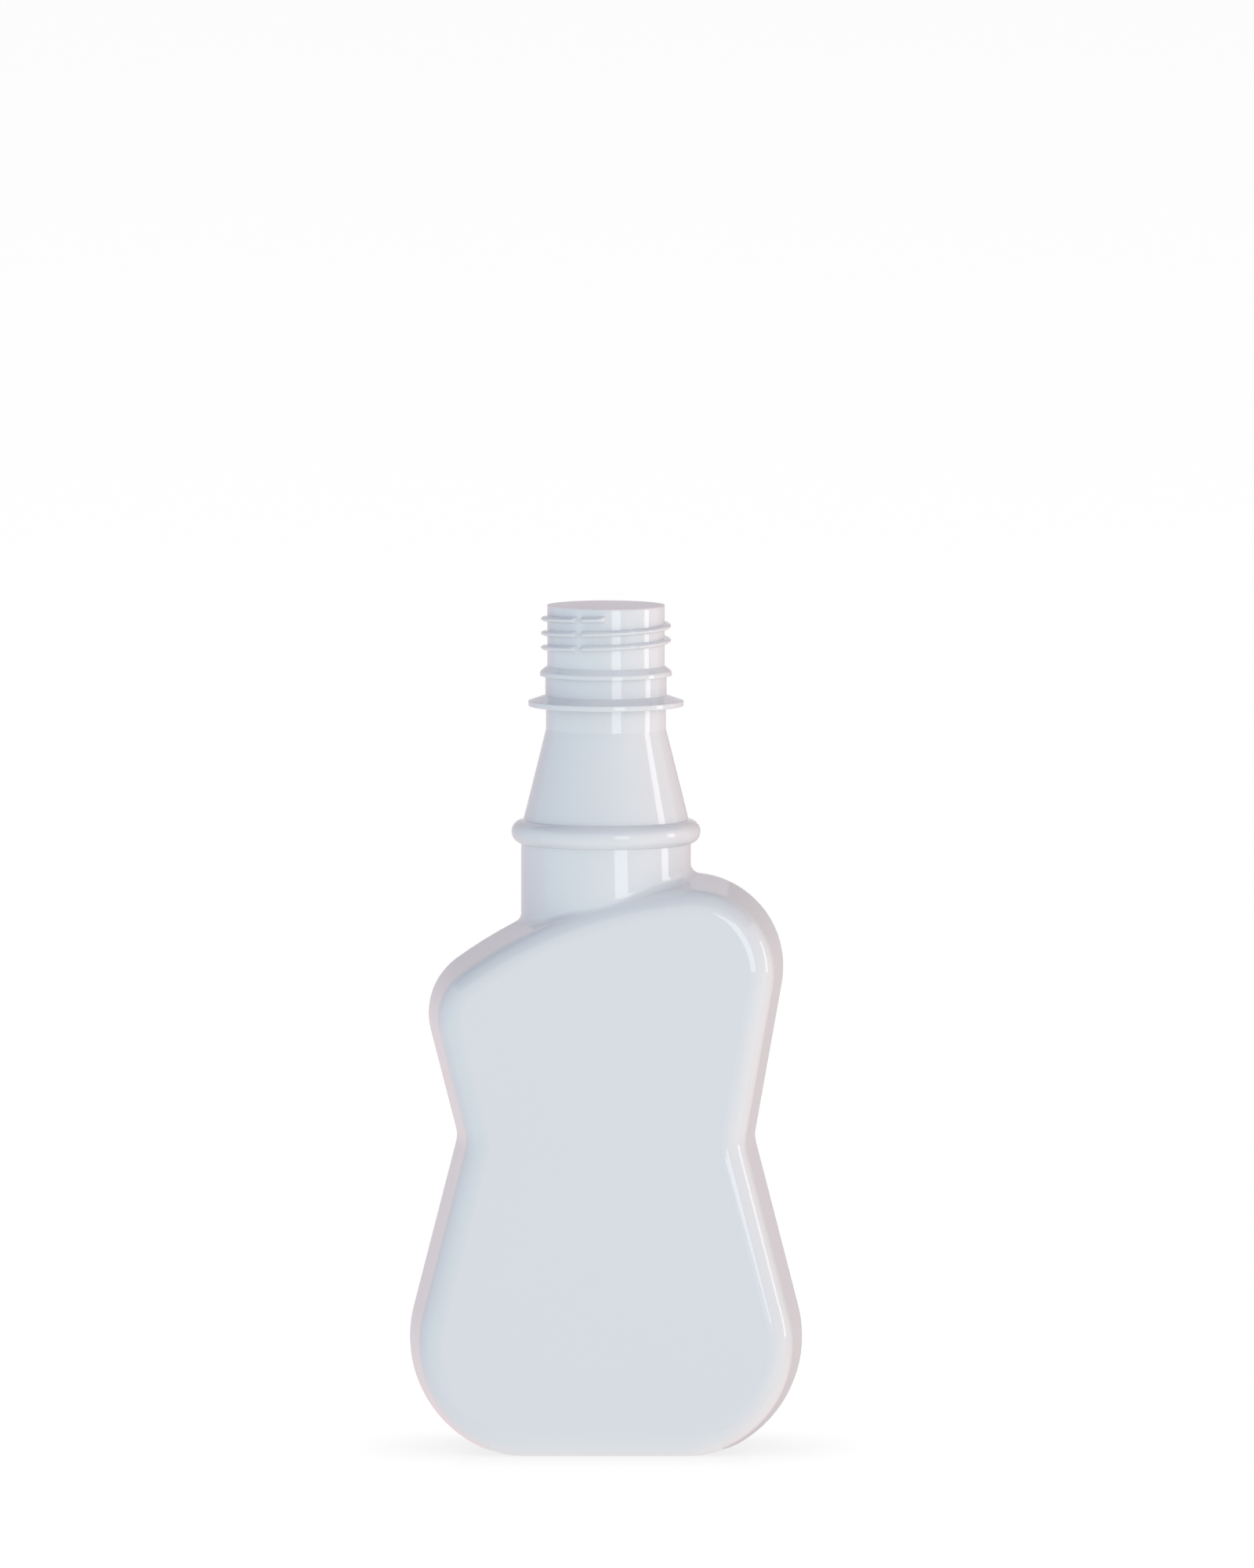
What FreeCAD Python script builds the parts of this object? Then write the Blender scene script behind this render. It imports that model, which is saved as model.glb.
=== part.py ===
import FreeCAD, Part
import math
import os

from FreeCAD import Vector

# Mouthwash bottle: a hollow moulding with a flat, waisted body and a round neck for a screw cap,
# closed by a heat-sealed membrane on its lip. Millimetres, +Z up, front face towards -Y.
# The origin is on the neck's axis, on the surface that the bottle stands on.

# Body outline, seen from the front: rounds joined by straight tangents and one wide top arc
SHOULDER_HALF_WIDTH = 37.65
BASE_FLARE = 4.0
BASE_CORNER_RADIUS = 26.2
BASE_TRIM = 2.55
WAIST_PINCH = 6.0
WAIST_RADIUS = 6.0
WAIST_RISE = 43.05
HIGH_SHOULDER_RADIUS = 19.8
HIGH_SHOULDER_RISE = 36.0
LOW_SHOULDER_RADIUS = 14.34
LOW_SHOULDER_RISE = 26.0
TOP_ARC_RADIUS = 96.7

# Body section: sides drafted from the parting line to the rounded edges of the flat faces
FACE_LEDGE = 2.45
SIDE_DRAFT_DEG = 7.5
EDGE_RADIUS = 5.2
PARTING_RADIUS = 8.0
BODY_WALL = 0.8
EDGE_WALL = 0.65

# Base: a raised panel inside a standing rim
BASE_WALL = 1.2
PANEL_LENGTH = 40.0
PANEL_WIDTH = 24.0
PANEL_RISE = 2.0
PANEL_SLOPE_RUN = 2.5

# Lower neck: straight root, stop bead, cone and shank
NECK_DIAMETER = 36.1
NECK_WALL = 1.0
NECK_BLEND_RADIUS = 2.0
NECK_STRAIGHT = 6.3
STOP_BEAD_RADIUS = 2.53
CONE_STEP = 0.5
CONE_LENGTH = 19.2
SHANK_LENGTH = 4.9
SHANK_STAND = 0.28

# Neck finish of the 28 mm size: support ring, collar, tamper bead, thread root and lip
ROOT_DIAMETER = 24.94
ROOT_LENGTH = 12.55
LIP_WALL = 1.6
RING_STAND = 4.03
RING_EDGE = 1.15
RING_SLOPE = 1.22
COLLAR_STAND = 0.43
COLLAR_LENGTH = 4.13
BEAD_STAND = 1.53
BEAD_EDGE = 0.9
BEAD_SLOPE = 1.2

# Membrane on the lip
SEAL_THICKNESS = 0.25

# Two lengths closer than this are the same length
CLOSENESS = 1e-3

# Places in the outline that follow from these
base_corner_x = SHOULDER_HALF_WIDTH + BASE_FLARE - BASE_CORNER_RADIUS
base_corner_z = BASE_CORNER_RADIUS - BASE_TRIM
waist_x = SHOULDER_HALF_WIDTH - WAIST_PINCH + WAIST_RADIUS
waist_z = base_corner_z + WAIST_RISE
high_x = SHOULDER_HALF_WIDTH - HIGH_SHOULDER_RADIUS
high_z = waist_z + HIGH_SHOULDER_RISE
low_x = LOW_SHOULDER_RADIUS - SHOULDER_HALF_WIDTH
low_z = waist_z + LOW_SHOULDER_RISE

# Body section
half_depth = NECK_DIAMETER / 2 + FACE_LEDGE
draft = math.radians(SIDE_DRAFT_DEG)
parting_crown = PARTING_RADIUS * (1 / math.cos(draft) - 1)

# Radii of the neck
neck_r = NECK_DIAMETER / 2
cone_foot_r = neck_r - CONE_STEP
root_r = ROOT_DIAMETER / 2
shank_r = root_r + SHANK_STAND
ring_r = root_r + RING_STAND
collar_r = root_r + COLLAR_STAND
bead_r = root_r + BEAD_STAND
bore_r = root_r - LIP_WALL

# Heights of the neck, from the higher shoulder up
shoulder_top_z = high_z + HIGH_SHOULDER_RADIUS
stop_bead_foot_z = shoulder_top_z + NECK_STRAIGHT
stop_bead_z = stop_bead_foot_z + STOP_BEAD_RADIUS
cone_foot_z = stop_bead_z + STOP_BEAD_RADIUS
cone_top_z = cone_foot_z + CONE_LENGTH
ring_z = cone_top_z + SHANK_LENGTH
ring_edge_z = ring_z + RING_EDGE
collar_z = ring_edge_z + RING_SLOPE
bead_z = collar_z + COLLAR_LENGTH
bead_edge_z = bead_z + BEAD_EDGE
bead_top_z = bead_edge_z + BEAD_SLOPE
lip_z = bead_top_z + ROOT_LENGTH


def same(value, target):
    """Whether two lengths agree as closely as modelled edges do."""
    return abs(value - target) < CLOSENESS


def top_arc_centre():
    """Centre of the top arc, which touches both shoulder rounds from outside."""
    span_x = high_x - low_x
    span_z = high_z - low_z
    span = math.hypot(span_x, span_z)
    to_low = TOP_ARC_RADIUS - LOW_SHOULDER_RADIUS
    to_high = TOP_ARC_RADIUS - HIGH_SHOULDER_RADIUS
    along = (span**2 + to_low**2 - to_high**2) / (2 * span)
    below = math.sqrt(to_low**2 - along**2)
    x = low_x + (along * span_x + below * span_z) / span
    z = low_z + (along * span_z - below * span_x) / span
    return x, z


def arc_chain(rounds, y):
    """Closed wire at depth y of rounds joined by their common tangents.

    Each round is (x, z, radius), in counter-clockwise order from the front.
    A round that curves inwards has a negative radius.
    """
    headings = []
    touching = []
    for index, (x, z, radius) in enumerate(rounds):
        next_x, next_z, next_radius = rounds[(index + 1) % len(rounds)]
        span = math.hypot(next_x - x, next_z - z)
        growth = next_radius - radius
        touch = same(abs(growth), span)
        lean = math.copysign(1.0, growth) if touch else growth / span
        headings.append(math.atan2(next_z - z, next_x - x) - math.asin(lean))
        touching.append(touch)

    def on_round(index, heading):
        x, z, radius = rounds[index]
        return Vector(x + radius * math.sin(heading), y, z - radius * math.cos(heading))

    edges = []
    for index, (x, z, radius) in enumerate(rounds):
        first = on_round(index, headings[index - 1])
        last = on_round(index, headings[index])
        circle = Part.Circle(Vector(x, y, z), Vector(0, -math.copysign(1.0, radius), 0), abs(radius))
        edges.append(Part.ArcOfCircle(circle, circle.parameter(first), circle.parameter(last)).toShape())
        if not touching[index]:
            following = on_round((index + 1) % len(rounds), headings[index])
            edges.append(Part.LineSegment(last, following).toShape())
    return Part.Wire(edges)


def body_outline(inset, y):
    """Front-view outline of the body at depth y, moved inwards by inset."""
    top_x, top_z = top_arc_centre()
    rounds = [
        (base_corner_x, base_corner_z, BASE_CORNER_RADIUS),
        (waist_x, waist_z, -WAIST_RADIUS),
        (high_x, high_z, HIGH_SHOULDER_RADIUS),
        (top_x, top_z, TOP_ARC_RADIUS),
        (low_x, low_z, LOW_SHOULDER_RADIUS),
        (-waist_x, waist_z, -WAIST_RADIUS),
        (-base_corner_x, base_corner_z, BASE_CORNER_RADIUS),
    ]
    return arc_chain([(x, z, radius - inset) for x, z, radius in rounds], y)


def edges_where(shape, test):
    """Edges of a shape whose points all pass a test."""
    found = []
    for edge in shape.Edges:
        first, last = edge.ParameterRange
        points = [edge.valueAt(first + (last - first) * share) for share in (0.0, 0.3, 0.7, 1.0)]
        if all(test(point) for point in points):
            found.append(edge)
    return found


def body_form():
    """Outside of the body, before its base is cut flat: two drafted halves with rounded edges."""
    parting = body_outline(-parting_crown, 0)
    face = body_outline(half_depth * math.tan(draft) - parting_crown, half_depth)
    back = Part.makeLoft([parting, face], True, True)
    back = back.makeFillet(EDGE_RADIUS, edges_where(back, lambda point: same(point.y, half_depth)))
    form = back.fuse(back.mirror(Vector(0, 0, 0), Vector(0, 1, 0)))
    return form.makeFillet(PARTING_RADIUS, edges_where(form, lambda point: same(point.y, 0)))


def body_hollow():
    """Inside of the body, a wall's thickness from the outside, with its edges bevelled."""
    face_y = half_depth - BODY_WALL
    round_r = EDGE_RADIUS - BODY_WALL
    bevel = round_r - math.sqrt((EDGE_RADIUS - EDGE_WALL) ** 2 - round_r**2)
    bevel_y = face_y - bevel
    sections = [(bevel_y * math.tan(draft), bevel_y), (face_y * math.tan(draft) + bevel, face_y)]
    outlines = [body_outline(BODY_WALL, 0)]
    for inset, y in sections:
        outlines.insert(0, body_outline(BODY_WALL + inset, -y))
        outlines.append(body_outline(BODY_WALL + inset, y))
    return Part.makeLoft(outlines, True, True)


def cut_level(shape, z):
    """A shape without what lies below height z."""
    reach = shape.BoundBox.DiagonalLength
    below = Part.makeBox(2 * reach, 2 * reach, reach, Vector(-reach, -reach, z - reach))
    return shape.cut(below)


def turned(profile):
    """Solid turned about the neck's axis from a closed profile of (radius, height) corners.

    A corner with a third item is reached by an arc through that point.
    """
    edges = []
    start = profile[-1]
    for corner in profile:
        first = Vector(start[0], 0, start[1])
        last = Vector(corner[0], 0, corner[1])
        if len(corner) == 3:
            middle = Vector(corner[2][0], 0, corner[2][1])
            edges.append(Part.Arc(first, middle, last).toShape())
        else:
            edges.append(Part.LineSegment(first, last).toShape())
        start = corner
    return Part.Face(Part.Wire(edges)).revolve(Vector(0, 0, 0), Vector(0, 0, 1), 360)


def neck_form():
    """Outside of the neck, from inside the shoulders up to the lip."""
    return turned([
        (0, low_z),
        (neck_r, low_z),
        (neck_r, stop_bead_foot_z),
        (cone_foot_r, cone_foot_z, (cone_foot_r + STOP_BEAD_RADIUS, stop_bead_z)),
        (shank_r, cone_top_z),
        (shank_r, ring_z),
        (ring_r, ring_z),
        (ring_r, ring_edge_z),
        (collar_r, collar_z),
        (collar_r, bead_z),
        (bead_r, bead_z),
        (bead_r, bead_edge_z),
        (root_r, bead_top_z),
        (root_r, lip_z),
        (0, lip_z),
    ])


def neck_hollow():
    """Inside of the neck: the bore, the cone and the straight root."""
    return turned([
        (0, low_z),
        (cone_foot_r - NECK_WALL, low_z),
        (cone_foot_r - NECK_WALL, cone_foot_z),
        (bore_r, cone_top_z),
        (bore_r, lip_z),
        (0, lip_z),
    ])


def blend_neck(shape):
    """Round the hollow corner where the neck runs into the shoulders."""
    def on_corner(point):
        on_neck = same(math.hypot(point.x, point.y), neck_r)
        return on_neck and low_z < point.z - NECK_BLEND_RADIUS < shoulder_top_z

    return shape.makeFillet(NECK_BLEND_RADIUS, edges_where(shape, on_corner))


def stadium(length, width, z):
    """Level closed wire with straight sides along X and round ends."""
    straight = (length - width) / 2
    half_width = width / 2
    front_left = Vector(-straight, -half_width, z)
    front_right = Vector(straight, -half_width, z)
    back_left = Vector(-straight, half_width, z)
    back_right = Vector(straight, half_width, z)
    return Part.Wire([
        Part.LineSegment(front_left, front_right).toShape(),
        Part.Arc(front_right, Vector(length / 2, 0, z), back_right).toShape(),
        Part.LineSegment(back_right, back_left).toShape(),
        Part.Arc(back_left, Vector(-length / 2, 0, z), front_left).toShape(),
    ])


def base_panel(wall):
    """Raised panel in the base, moved outwards by wall, down to the standing level."""
    length = PANEL_LENGTH + 2 * wall
    width = PANEL_WIDTH + 2 * wall
    taper = 2 * PANEL_SLOPE_RUN
    foot = stadium(length, width, 0)
    top = stadium(length - taper, width - taper, PANEL_RISE + wall)
    return Part.makeLoft([foot, top], True, True)


def bottle():
    """The moulding: body and neck in one, hollow, with the panel pushed up into its base."""
    foot = cut_level(body_form(), 0).cut(base_panel(0))
    outside = blend_neck(foot.fuse(neck_form()))
    hollow = cut_level(body_hollow(), BASE_WALL).fuse(neck_hollow())
    return outside.cut(hollow.cut(base_panel(BASE_WALL)))


def mouth_seal():
    """Membrane that lies on the lip, out to its edge."""
    return Part.makeCylinder(root_r, SEAL_THICKNESS, Vector(0, 0, lip_z))


os.makedirs("parts", exist_ok=True)
pieces = {"bottle": bottle(), "mouth_seal": mouth_seal()}
for name, shape in pieces.items():
    box = shape.optimalBoundingBox()
    print(name, shape.isValid(), len(shape.Solids), round(shape.Volume, 1), box)
    shape.exportStep("parts/" + name + ".step")
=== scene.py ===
import bpy
import math
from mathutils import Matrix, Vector


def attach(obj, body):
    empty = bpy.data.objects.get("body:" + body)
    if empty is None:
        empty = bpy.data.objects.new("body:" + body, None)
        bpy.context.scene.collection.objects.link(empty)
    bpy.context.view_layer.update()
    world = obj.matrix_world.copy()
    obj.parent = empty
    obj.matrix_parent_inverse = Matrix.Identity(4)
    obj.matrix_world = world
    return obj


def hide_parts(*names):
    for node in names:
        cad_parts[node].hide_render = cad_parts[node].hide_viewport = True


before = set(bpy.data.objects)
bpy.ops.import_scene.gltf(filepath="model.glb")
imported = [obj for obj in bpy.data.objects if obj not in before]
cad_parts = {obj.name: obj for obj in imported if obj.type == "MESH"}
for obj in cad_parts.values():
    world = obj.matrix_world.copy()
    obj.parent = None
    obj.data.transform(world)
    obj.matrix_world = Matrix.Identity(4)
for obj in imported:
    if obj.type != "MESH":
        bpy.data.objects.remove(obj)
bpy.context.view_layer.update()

# Bottle: one hollow moulding of white plastic, flat-faced body and round neck together.
# Blow moulded, so it is glossy all over, with a faint flow texture from the mould.
# The outside of its neck finish is turned afresh here, with the soft edges that a mould leaves.
MM = 0.001
PLASTIC_WHITE = (0.685, 0.725, 0.770, 1.0)
PLASTIC_SHADE = (0.675, 0.715, 0.762, 1.0)
PLASTIC_GLOSS_LOW = 0.02
PLASTIC_GLOSS_HIGH = 0.035
PLASTIC_RELIEF = 0.03
MOTTLE_SCALE = 28.0
MOTTLE_DETAIL = 3.0
FLOW_SCALE = 90.0
FLOW_DETAIL = 2.0
PEEL_SCALE = 420.0
PEEL_DETAIL = 1.0
PEEL_DEPTH = 0.02 * MM


def surface_group():
    """Node group for the skin of a moulding: colour mottle, gloss and relief."""
    group = bpy.data.node_groups.new("moulded skin", "ShaderNodeTree")
    for name in ("Pale", "Deep"):
        group.interface.new_socket(name, in_out="INPUT", socket_type="NodeSocketColor")
    for name in ("Gloss Low", "Gloss High"):
        group.interface.new_socket(name, in_out="INPUT", socket_type="NodeSocketFloat")
    group.interface.new_socket("Colour", in_out="OUTPUT", socket_type="NodeSocketColor")
    for name in ("Roughness", "Relief"):
        group.interface.new_socket(name, in_out="OUTPUT", socket_type="NodeSocketFloat")
    nodes, links = group.nodes, group.links
    inside = nodes.new("NodeGroupInput")
    outside = nodes.new("NodeGroupOutput")
    place = nodes.new("ShaderNodeTexCoord")

    def unevenness(scale, detail):
        """Noise fixed to the piece, as a value from 0 to 1."""
        noise = nodes.new("ShaderNodeTexNoise")
        noise.inputs["Scale"].default_value = scale
        noise.inputs["Detail"].default_value = detail
        links.new(place.outputs["Object"], noise.inputs["Vector"])
        return noise.outputs["Fac"]

    tint = nodes.new("ShaderNodeMix")
    tint.data_type = "RGBA"
    links.new(unevenness(MOTTLE_SCALE, MOTTLE_DETAIL), tint.inputs["Factor"])
    links.new(inside.outputs["Pale"], tint.inputs["A"])
    links.new(inside.outputs["Deep"], tint.inputs["B"])
    links.new(tint.outputs["Result"], outside.inputs["Colour"])
    gloss = nodes.new("ShaderNodeMapRange")
    links.new(unevenness(FLOW_SCALE, FLOW_DETAIL), gloss.inputs["Value"])
    links.new(inside.outputs["Gloss Low"], gloss.inputs["To Min"])
    links.new(inside.outputs["Gloss High"], gloss.inputs["To Max"])
    links.new(gloss.outputs["Result"], outside.inputs["Roughness"])
    links.new(unevenness(PEEL_SCALE, PEEL_DETAIL), outside.inputs["Relief"])
    return group


moulded_skin = surface_group()


def skin_material(name, pale, deep, gloss_low, gloss_high, relief):
    """Opaque plastic with the moulded skin's colour, gloss and relief."""
    material = bpy.data.materials.new(name)
    material.use_nodes = True
    nodes, links = material.node_tree.nodes, material.node_tree.links
    plastic = nodes["Principled BSDF"]
    skin = nodes.new("ShaderNodeGroup")
    skin.node_tree = moulded_skin
    skin.inputs["Pale"].default_value = pale
    skin.inputs["Deep"].default_value = deep
    skin.inputs["Gloss Low"].default_value = gloss_low
    skin.inputs["Gloss High"].default_value = gloss_high
    bump = nodes.new("ShaderNodeBump")
    bump.inputs["Strength"].default_value = relief
    bump.inputs["Distance"].default_value = PEEL_DEPTH
    links.new(skin.outputs["Colour"], plastic.inputs["Base Color"])
    links.new(skin.outputs["Roughness"], plastic.inputs["Roughness"])
    links.new(skin.outputs["Relief"], bump.inputs["Height"])
    links.new(bump.outputs["Normal"], plastic.inputs["Normal"])
    return material


bottle_plastic = skin_material(
    "bottle plastic", PLASTIC_WHITE, PLASTIC_SHADE, PLASTIC_GLOSS_LOW, PLASTIC_GLOSS_HIGH, PLASTIC_RELIEF)
SHANK_RADIUS = 12.75
SHANK_FOOT = 153.06
RING_RADIUS = 16.5
RING_UNDERSIDE = 157.96
RING_EDGE_TOP = 159.11
RING_ROUND = 0.28
COLLAR_RADIUS = 12.9
COLLAR_FOOT = 160.33
BEAD_RADIUS = 14.0
BEAD_UNDERSIDE = 164.46
BEAD_EDGE_TOP = 165.36
BEAD_ROUND = 0.9
BEAD_TOP = 166.56
ROOT_RADIUS = 12.47
LIP_TOP = 179.11
FINISH_INSIDE = 11.8
SEAM_LAP = 0.2
ROUND_STEPS = 10
TURN_STEPS = 160


def turned_spans(corners):
    """Lines and arcs of a turned profile, each a list of (point, outward normal) in radius and height.

    A corner is (radius, height, round), and a round of 0 leaves it sharp.
    """
    spans = []
    start = Vector(corners[0][:2])
    for before, corner, after in zip(corners, corners[1:], corners[2:] + [None]):
        tip = Vector(corner[:2])
        rounding = corner[2]
        back = (Vector(before[:2]) - tip).normalized()
        outward = Vector((-back.y, back.x))
        if after is None or rounding == 0:
            spans.append([(start, outward), (tip, outward)])
            start = tip
            continue
        ahead = (Vector(after[:2]) - tip).normalized()
        half_angle = back.angle(ahead) / 2
        first = tip + back * (rounding / math.tan(half_angle))
        last = tip + ahead * (rounding / math.tan(half_angle))
        centre = tip + (back + ahead).normalized() * (rounding / math.sin(half_angle))
        spans.append([(start, outward), (first, outward)])
        arc = []
        for step in range(ROUND_STEPS + 1):
            spoke = (first - centre).slerp(last - centre, step / ROUND_STEPS)
            arc.append((centre + spoke * rounding, spoke))
        spans.append(arc)
        start = last
    return spans


def swung(flat, turn):
    """A (radius, height) pair swung round the neck's axis to one step of the full turn."""
    angle = 2 * math.pi * turn / TURN_STEPS
    return Vector((flat.x * math.cos(angle), flat.x * math.sin(angle), flat.y))


def keep_moulding(solid, verts, faces, normals):
    """Copy the solid's faces and their shading, apart from the outside of the neck finish."""
    kept = {}
    for polygon in solid.polygons:
        corners = [solid.vertices[index].co for index in polygon.vertices]
        lowest = min(corner.z for corner in corners)
        nearest = min(math.hypot(corner.x, corner.y) for corner in corners)
        if lowest > (SHANK_FOOT - SEAM_LAP) * MM and nearest > FINISH_INSIDE * MM:
            continue
        face = []
        for loop in polygon.loop_indices:
            index = solid.loops[loop].vertex_index
            if index not in kept:
                kept[index] = len(verts)
                verts.append(solid.vertices[index].co.copy())
            face.append(kept[index])
            normals.append(solid.corner_normals[loop].vector.copy())
        faces.append(face)


def turn_finish(spans, verts, faces, normals):
    """Add the outside of the neck finish, each span turned into a band of its own."""
    for span in spans:
        foot = len(verts)
        size = len(span)
        for turn in range(TURN_STEPS):
            verts.extend(swung(point, turn) * MM for point, _ in span)
        for here in range(TURN_STEPS):
            there = (here + 1) % TURN_STEPS
            for step in range(size - 1):
                places = ((here, step), (there, step), (there, step + 1), (here, step + 1))
                faces.append([foot + turn * size + rise for turn, rise in places])
                normals.extend(swung(span[rise][1], turn) for turn, rise in places)


def shell_mesh(solid, spans):
    """The moulding's own faces, with the outside of its neck finish turned afresh with soft edges."""
    verts, faces, normals = [], [], []
    keep_moulding(solid, verts, faces, normals)
    turn_finish(spans, verts, faces, normals)
    mesh = bpy.data.meshes.new("bottle_shell")
    mesh.from_pydata(verts, [], faces)
    mesh.polygons.foreach_set("use_smooth", [True] * len(mesh.polygons))
    mesh.normals_split_custom_set(normals)
    return mesh


finish_spans = turned_spans([
    (SHANK_RADIUS - SEAM_LAP, SHANK_FOOT - SEAM_LAP, 0),
    (SHANK_RADIUS, SHANK_FOOT, 0),
    (SHANK_RADIUS, RING_UNDERSIDE, 0),
    (RING_RADIUS, RING_UNDERSIDE, RING_ROUND),
    (RING_RADIUS, RING_EDGE_TOP, RING_ROUND),
    (COLLAR_RADIUS, COLLAR_FOOT, 0),
    (COLLAR_RADIUS, BEAD_UNDERSIDE, 0),
    (BEAD_RADIUS, BEAD_UNDERSIDE, 0),
    (BEAD_RADIUS, BEAD_EDGE_TOP, BEAD_ROUND),
    (ROOT_RADIUS, BEAD_TOP, 0),
    (ROOT_RADIUS, LIP_TOP, 0),
])
shell = bpy.data.objects.new("bottle_shell", shell_mesh(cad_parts["bottle"].data, finish_spans))
bpy.context.scene.collection.objects.link(shell)
shell.data.materials.append(bottle_plastic)
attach(shell, "bottle")
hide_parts("bottle")

# Screw thread: a rounded ridge of the same plastic, moulded round the top of the neck in one piece with it.
# It winds down to the right-hand rule for two and a half turns and is cut by four rows of vent slots.
THREAD_HEIGHT = 1.36
THREAD_BASE = 1.32
THREAD_TIP = 0.95
THREAD_SUNK = 0.30
THREAD_PITCH = 3.05
THREAD_TOP = 177.26
THREAD_TURNS = 2.5
THREAD_LEAD_IN = 7.0
THREAD_RUN_OUT = 30.0
THREAD_FULLNESS = 0.6
THREAD_OUTLINE_STEPS = 12
THREAD_STEP_DEG = 1.0
THREAD_CREASE_DEG = 40.0
# Each vent row is its angle from the front and the share of the ridge that it cuts away.
VENTS = ((-153.0, 1.0), (-27.0, 1.0), (27.0, 0.5), (153.0, 1.0))
# Degrees from a slot's middle to the ridge's full height and to its foot. The far side is the one
# towards the bottle's left or right, and the near side the one towards the middle of its front or back.
VENT_NEAR = 5.8
VENT_NEAR_FOOT = 2.1
VENT_FAR = 5.6
VENT_FAR_FOOT = 1.9


def thread_share(turned):
    """Share of the ridge's full height left at an angle, in degrees wound on from the front."""
    length = 360.0 * THREAD_TURNS
    share = min(turned / THREAD_LEAD_IN, (length - turned) / THREAD_RUN_OUT, 1.0)
    facing = (-turned + 180.0) % 360.0 - 180.0
    for place, depth in VENTS:
        outward = (facing - place) * math.copysign(1.0, place)
        if abs(place) > 90.0:
            outward = -outward
        if outward >= 0:
            rise = (outward - VENT_FAR_FOOT) / (VENT_FAR - VENT_FAR_FOOT)
        else:
            rise = (-outward - VENT_NEAR_FOOT) / (VENT_NEAR - VENT_NEAR_FOOT)
        share = min(share, 1.0 - depth + depth * max(0.0, rise))
    return max(0.0, share)


def thread_section(share):
    """Ridge outline from its lower foot round the crest to its upper foot, as (stand, rise) pairs."""
    stand = THREAD_HEIGHT * math.sin(0.5 * math.pi * share)
    outline = [(-THREAD_SUNK, -0.5 * THREAD_BASE)]
    for step in range(THREAD_OUTLINE_STEPS + 1):
        angle = math.pi * (step / THREAD_OUTLINE_STEPS - 0.5)
        width = THREAD_BASE + (THREAD_TIP - THREAD_BASE) * math.cos(angle)
        outline.append((stand * math.cos(angle) ** THREAD_FULLNESS, 0.5 * width * math.sin(angle)))
    outline.append((-THREAD_SUNK, 0.5 * THREAD_BASE))
    return outline


def thread_mesh():
    """Closed lengths of ridge between the vent slots."""
    count = int(360.0 * THREAD_TURNS / THREAD_STEP_DEG)
    verts, faces = [], []
    previous = None
    for index in range(count + 1):
        turned = index * THREAD_STEP_DEG
        share = thread_share(turned)
        beside = max(thread_share(turned - THREAD_STEP_DEG), thread_share(turned + THREAD_STEP_DEG))
        if share == 0 and beside == 0:
            previous = None
            continue
        angle = math.radians(-turned)
        middle = THREAD_TOP - THREAD_PITCH * turned / 360.0
        ring = []
        for stand, rise in thread_section(share):
            radius = ROOT_RADIUS + stand if share > 0 else ROOT_RADIUS - THREAD_SUNK
            ring.append(len(verts))
            verts.append(Vector((radius * math.sin(angle), -radius * math.cos(angle), middle + rise)) * MM)
        if previous is None:
            faces.append(ring[::-1])
        else:
            size = len(ring)
            for k in range(size):
                faces.append((previous[k], previous[(k + 1) % size], ring[(k + 1) % size], ring[k]))
        ends = share == 0 and previous is not None
        previous = ring
        if ends or index == count:
            faces.append(ring)
            previous = None
    mesh = bpy.data.meshes.new("screw_thread")
    mesh.from_pydata(verts, [], faces)
    mesh.polygons.foreach_set("use_smooth", [True] * len(mesh.polygons))
    mesh.set_sharp_from_angle(angle=math.radians(THREAD_CREASE_DEG))
    return mesh


thread = bpy.data.objects.new("screw_thread", thread_mesh())
bpy.context.scene.collection.objects.link(thread)
thread.data.materials.append(bottle_plastic)
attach(thread, "bottle")

# Membrane: a thin disc of film-coated foil, heat-sealed flat onto the lip.
# Its face is satin and slightly warm.
FILM_PALE = (0.74, 0.73, 0.78, 1.0)
FILM_DEEP = (0.72, 0.71, 0.76, 1.0)
FILM_GLOSS_LOW = 0.20
FILM_GLOSS_HIGH = 0.26
FILM_RELIEF = 0.3
seal_film = skin_material("seal film", FILM_PALE, FILM_DEEP, FILM_GLOSS_LOW, FILM_GLOSS_HIGH, FILM_RELIEF)
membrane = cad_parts["mouth_seal"]
membrane.data.materials.clear()
membrane.data.materials.append(seal_film)

# Floor: a wide sheet of white paper, laid flat under the bottle, with a sheen at grazing angles.
# It glows evenly, so that it stays white, apart from a painted contact shadow that dims the glow where the
# bottle stands close to it.
FLOOR_REACH = 6.0
FLOOR_GLOW = 1.02
# Depth and reach of the painted contact shadow in the floor's glow.
FLOOR_SHADE = 0.17
FLOOR_SHADE_REACH = 0.022
FLOOR_SHEEN_IOR = 1.009
FLOOR_SHEEN_ROUGHNESS = 0.03


def flat_card(name, corners):
    """Single-faced mesh through the given corners."""
    mesh = bpy.data.meshes.new(name)
    mesh.from_pydata([Vector(corner) for corner in corners], [], [range(len(corners))])
    card = bpy.data.objects.new(name, mesh)
    bpy.context.scene.collection.objects.link(card)
    return card


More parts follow.
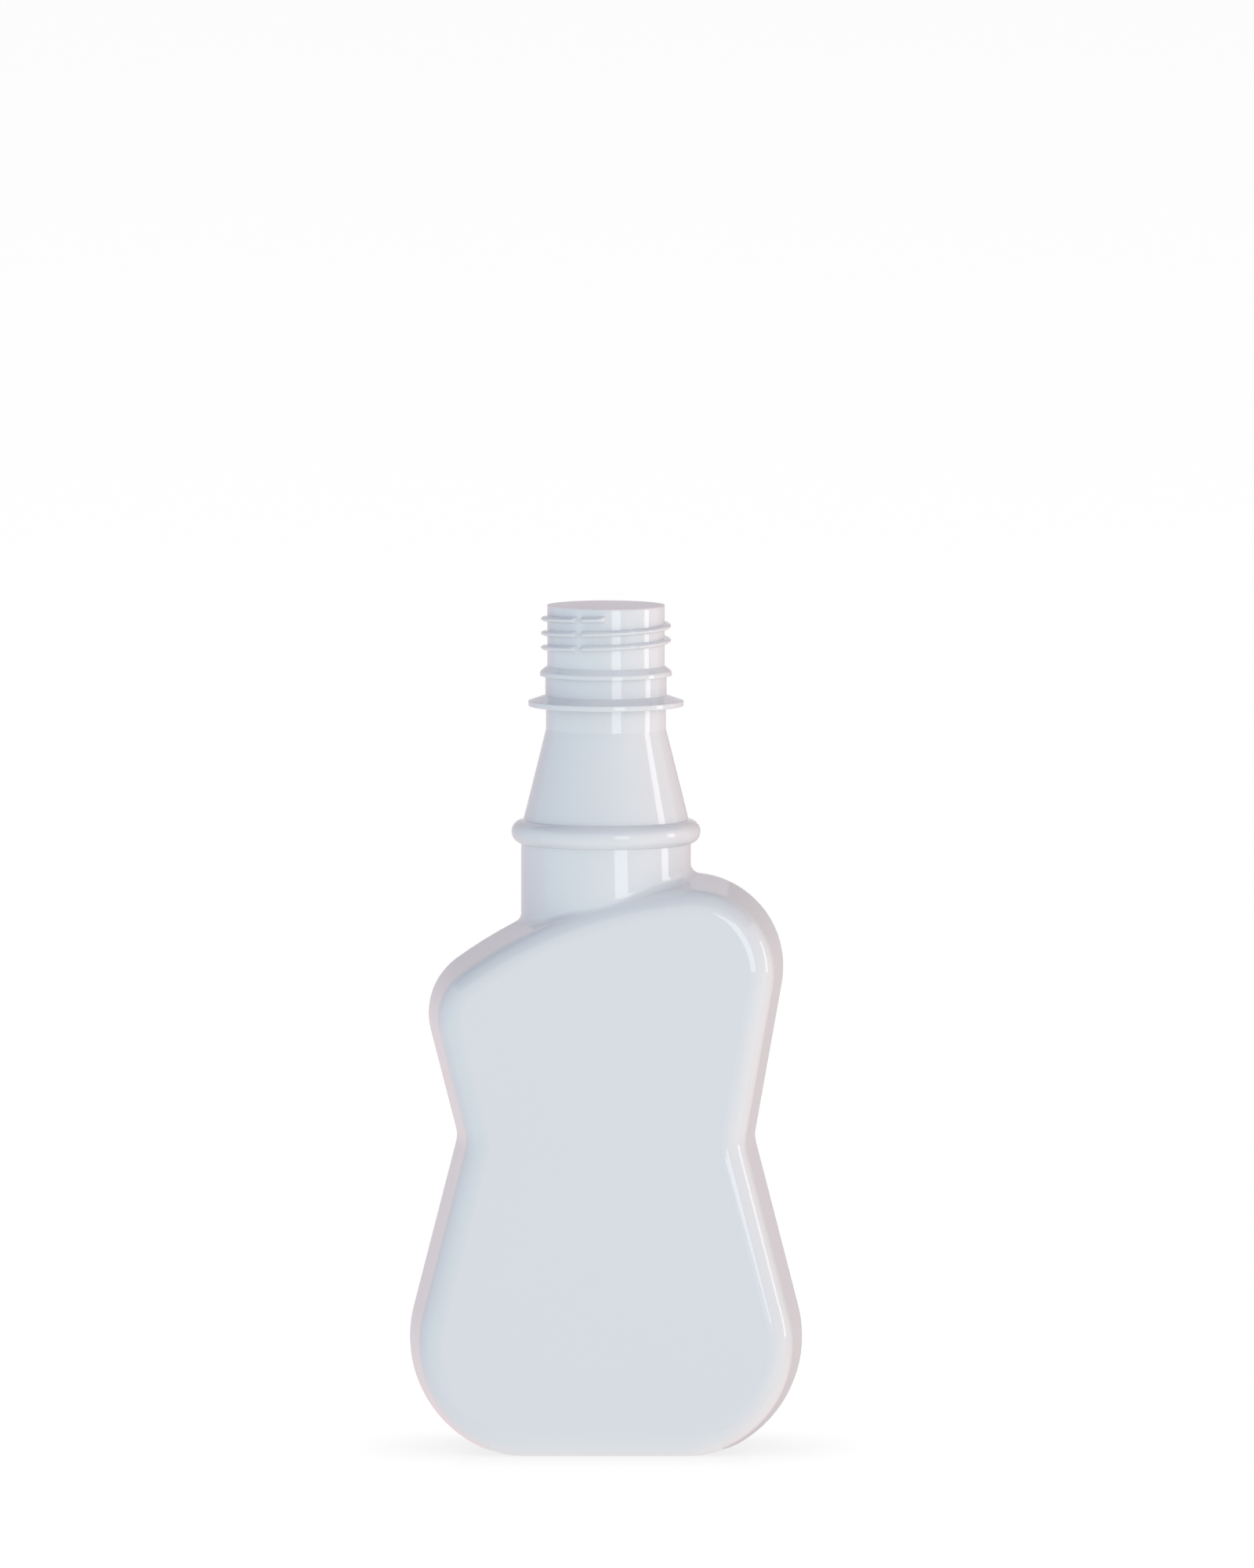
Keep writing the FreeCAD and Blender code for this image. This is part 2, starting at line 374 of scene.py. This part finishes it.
floor = flat_card("floor", [
    (-FLOOR_REACH, -FLOOR_REACH, 0),
    (FLOOR_REACH, -FLOOR_REACH, 0),
    (FLOOR_REACH, FLOOR_REACH, 0),
    (-FLOOR_REACH, FLOOR_REACH, 0),
])
sheet = bpy.data.materials.new("white sheet")
sheet.use_nodes = True
nodes, links = sheet.node_tree.nodes, sheet.node_tree.links
nodes.remove(nodes["Principled BSDF"])
# Painted contact shadow: ambient occlusion from the bottle lowers the floor's glow by up to FLOOR_SHADE
# within FLOOR_SHADE_REACH.
painted_contact_shadow = nodes.new("ShaderNodeAmbientOcclusion")
painted_contact_shadow.inputs["Distance"].default_value = FLOOR_SHADE_REACH
level = nodes.new("ShaderNodeMapRange")
level.inputs["To Min"].default_value = FLOOR_GLOW - FLOOR_SHADE
level.inputs["To Max"].default_value = FLOOR_GLOW
links.new(painted_contact_shadow.outputs["AO"], level.inputs["Value"])
paper = nodes.new("ShaderNodeEmission")
links.new(level.outputs["Result"], paper.inputs["Strength"])
sheen = nodes.new("ShaderNodeBsdfGlossy")
sheen.inputs["Roughness"].default_value = FLOOR_SHEEN_ROUGHNESS
grazing = nodes.new("ShaderNodeFresnel")
grazing.inputs["IOR"].default_value = FLOOR_SHEEN_IOR
polished = nodes.new("ShaderNodeMixShader")
links.new(grazing.outputs["Fac"], polished.inputs["Fac"])
links.new(paper.outputs["Emission"], polished.inputs[1])
links.new(sheen.outputs["BSDF"], polished.inputs[2])
links.new(polished.outputs["Shader"], nodes["Material Output"].inputs["Surface"])
floor.data.materials.append(sheet)
floor.visible_diffuse = False

# Reflector cards: plain tinted boards that stand behind the bottle, lie beside it and hang over it.
# They show in reflections only, where they give its edges, shoulders and top their tone.
CARD_BACK = 1.0
CARD_FRONT = -1.2
CARD_GAP = 0.22
CARD_REACH = 1.6
CARD_TOP = 1.2
UPPER_CARD_FOOT = 0.23
FLAT_CARD_GAP = 0.025
FLAT_CARD_NEAR = -0.04
FLAT_CARD_LIFT = 0.0005
CARD_LEFT = (0.90, 0.78, 0.80, 1.0)
CARD_RIGHT = (0.68, 0.62, 0.64, 1.0)
CARD_UPPER = (0.86, 0.80, 0.84, 1.0)
CARD_OVERHEAD = (0.02, 0.08, 0.28, 1.0)


def card_glow(name, colour):
    """Even glow of a lit card, seen from its front only."""
    material = bpy.data.materials.new(name)
    material.use_nodes = True
    nodes, links = material.node_tree.nodes, material.node_tree.links
    nodes.remove(nodes["Principled BSDF"])
    glow = nodes.new("ShaderNodeEmission")
    glow.inputs["Color"].default_value = colour
    clear = nodes.new("ShaderNodeBsdfTransparent")
    side = nodes.new("ShaderNodeNewGeometry")
    front = nodes.new("ShaderNodeMixShader")
    links.new(side.outputs["Backfacing"], front.inputs["Fac"])
    links.new(glow.outputs["Emission"], front.inputs[1])
    links.new(clear.outputs["BSDF"], front.inputs[2])
    links.new(front.outputs["Shader"], nodes["Material Output"].inputs["Surface"])
    return material


def reflector(name, colour, corners):
    """Glowing card that shows in reflections only."""
    card = flat_card(name, corners)
    card.data.materials.append(card_glow(name, colour))
    card.visible_camera = False
    card.visible_diffuse = False
    card.visible_shadow = False


for name, colour, left_x, right_x, foot in (
    ("left card", CARD_LEFT, -CARD_REACH, -CARD_GAP, 0.0),
    ("right card", CARD_RIGHT, CARD_GAP, CARD_REACH, 0.0),
    ("upper card", CARD_UPPER, -CARD_GAP, CARD_GAP, UPPER_CARD_FOOT),
):
    reflector(name, colour, [
        (left_x, CARD_BACK, foot),
        (right_x, CARD_BACK, foot),
        (right_x, CARD_BACK, CARD_TOP),
        (left_x, CARD_BACK, CARD_TOP),
    ])
for name, colour, left_x, right_x in (
    ("left floor card", CARD_LEFT, -CARD_REACH, -FLAT_CARD_GAP),
    ("right floor card", CARD_RIGHT, FLAT_CARD_GAP, CARD_REACH),
):
    reflector(name, colour, [
        (left_x, FLAT_CARD_NEAR, FLAT_CARD_LIFT),
        (right_x, FLAT_CARD_NEAR, FLAT_CARD_LIFT),
        (right_x, CARD_BACK, FLAT_CARD_LIFT),
        (left_x, CARD_BACK, FLAT_CARD_LIFT),
    ])
reflector("overhead card", CARD_OVERHEAD, [
    (-CARD_REACH, CARD_BACK, CARD_TOP),
    (CARD_REACH, CARD_BACK, CARD_TOP),
    (CARD_REACH, CARD_FRONT, CARD_TOP),
    (-CARD_REACH, CARD_FRONT, CARD_TOP),
])

# Softboxes: upright cloth-fronted lamps, a broad one beside the camera, a narrow one off to the right
# and a fill lamp behind, which gives light but no reflection. They light the plastic and the floor, and
# are screened from the membrane, which would mirror them as glare.
LAMP_REACH = 1.2
LAMP_LOW_DEG = -4.5
BROAD_TINT = (1.0, 1.0, 1.0)
NARROW_TINT = (1.0, 0.98, 0.97)
FILL_TINT = (0.82, 0.985, 1.0)
MIDDLE = Vector((0, 0, 0.1))
lamp_lit = bpy.data.collections.new("lamp lit")
for piece in (shell, thread, floor):
    lamp_lit.objects.link(piece)


def softbox(name, azimuth_deg, width_deg, high_deg, radiance, colour):
    """Upright area lamp round the bottle, sized by the angles that it fills seen from there."""
    lamp = bpy.data.lights.new(name, "AREA")
    lamp.shape = "RECTANGLE"
    lamp.size = 2 * LAMP_REACH * math.tan(math.radians(width_deg / 2))
    low = LAMP_REACH * math.tan(math.radians(LAMP_LOW_DEG))
    high = LAMP_REACH * math.tan(math.radians(high_deg))
    lamp.size_y = high - low
    lamp.energy = radiance * math.pi * lamp.size * lamp.size_y
    lamp.color = colour
    holder = bpy.data.objects.new(name, lamp)
    bpy.context.scene.collection.objects.link(holder)
    azimuth = math.radians(azimuth_deg)
    out = Vector((math.sin(azimuth), -math.cos(azimuth), 0))
    holder.location = MIDDLE + out * LAMP_REACH + Vector((0, 0, (low + high) / 2))
    holder.rotation_euler = out.to_track_quat("Z", "Y").to_euler()
    holder.visible_camera = False
    holder.light_linking.receiver_collection = lamp_lit
    return holder


softbox("broad softbox", azimuth_deg=20.0, width_deg=17.5, high_deg=22.0, radiance=2.8, colour=BROAD_TINT)
softbox("narrow softbox", azimuth_deg=87.0, width_deg=12.0, high_deg=20.0, radiance=3.4, colour=NARROW_TINT)
back_fill = softbox(
    "back fill", azimuth_deg=180.0, width_deg=12.0, high_deg=10.0, radiance=26.0, colour=FILL_TINT)
back_fill.visible_glossy = False

# Room light: a white tent round the bottle, plain white wherever the camera or a mirror looks.
# Its glow on the bottle is stronger from below and warmer from the right and the back,
# and fades to dark in the part of the tent that is high up behind.
ROOM_WHITE = (1.0, 1.0, 1.0, 1.0)
ROOM_MEAN = (1.175, 1.02, 1.01)
ROOM_RIGHT = (0.205, 0.065, -0.02)
ROOM_BACK = (0.38, 0.15, 0.135)
ROOM_UP = (-0.22, -0.19, -0.13)
DIM_TILT_DEG = 50.0
DIM_FROM = 0.2
DIM_TO = 0.8

world = bpy.data.worlds.new("studio room")
bpy.context.scene.world = world
world.use_nodes = True
nodes, links = world.node_tree.nodes, world.node_tree.links
place = nodes.new("ShaderNodeTexCoord")
axes = nodes.new("ShaderNodeSeparateXYZ")
links.new(place.outputs["Generated"], axes.inputs["Vector"])
total = nodes.new("ShaderNodeCombineXYZ")
for socket, value in zip(total.inputs, ROOM_MEAN):
    socket.default_value = value
running = total.outputs["Vector"]
for axis, slope in (("X", ROOM_RIGHT), ("Y", ROOM_BACK), ("Z", ROOM_UP)):
    lean = nodes.new("ShaderNodeVectorMath")
    lean.operation = "MULTIPLY_ADD"
    links.new(axes.outputs[axis], lean.inputs[0])
    lean.inputs[1].default_value = slope
    links.new(running, lean.inputs[2])
    running = lean.outputs["Vector"]
dim_side = nodes.new("ShaderNodeVectorMath")
dim_side.operation = "DOT_PRODUCT"
dim_tilt = math.radians(DIM_TILT_DEG)
dim_side.inputs[1].default_value = (0, math.sin(dim_tilt), math.cos(dim_tilt))
links.new(place.outputs["Generated"], dim_side.inputs[0])
fade = nodes.new("ShaderNodeMapRange")
fade.interpolation_type = "SMOOTHSTEP"
fade.inputs["From Min"].default_value = DIM_FROM
fade.inputs["From Max"].default_value = DIM_TO
fade.inputs["To Min"].default_value = 1.0
fade.inputs["To Max"].default_value = 0.0
links.new(dim_side.outputs["Value"], fade.inputs["Value"])
soft_glow = nodes.new("ShaderNodeBackground")
links.new(running, soft_glow.inputs["Color"])
links.new(fade.outputs["Result"], soft_glow.inputs["Strength"])
white_room = nodes.new("ShaderNodeBackground")
white_room.inputs["Color"].default_value = ROOM_WHITE
ray = nodes.new("ShaderNodeLightPath")
shown = ray.outputs["Is Camera Ray"]
for kind in ("Is Glossy Ray", "Is Transmission Ray"):
    either = nodes.new("ShaderNodeMath")
    either.operation = "MAXIMUM"
    links.new(shown, either.inputs[0])
    links.new(ray.outputs[kind], either.inputs[1])
    shown = either.outputs["Value"]
choice = nodes.new("ShaderNodeMixShader")
links.new(shown, choice.inputs["Fac"])
links.new(soft_glow.outputs["Background"], choice.inputs[1])
links.new(white_room.outputs["Background"], choice.inputs[2])
links.new(choice.outputs["Shader"], nodes["World Output"].inputs["Surface"])

# Camera: a long lens almost level with the bottle, which stands in the picture's lower half.
# It looks down by the tilt that the round rims of the neck show.
VIEW_HEIGHT = 0.3324
SENSOR = 36.0
LENS = 600.0
TILT_DEG = 4.9
AIM = Vector((4.46, 0, 141.3)) * MM
CLIP_REACH = 3.0
distance = VIEW_HEIGHT * LENS / SENSOR
tilt = math.radians(TILT_DEG)
back = Vector((0, -math.cos(tilt), math.sin(tilt)))
lens = bpy.data.cameras.new("camera")
lens.lens = LENS
lens.sensor_width = SENSOR
lens.clip_end = CLIP_REACH * distance
camera = bpy.data.objects.new("camera", lens)
bpy.context.scene.collection.objects.link(camera)
camera.location = AIM + back * distance
camera.rotation_euler = (-back).to_track_quat("-Z", "Y").to_euler()
bpy.context.scene.camera = camera
bpy.context.scene.view_settings.view_transform = "Standard"
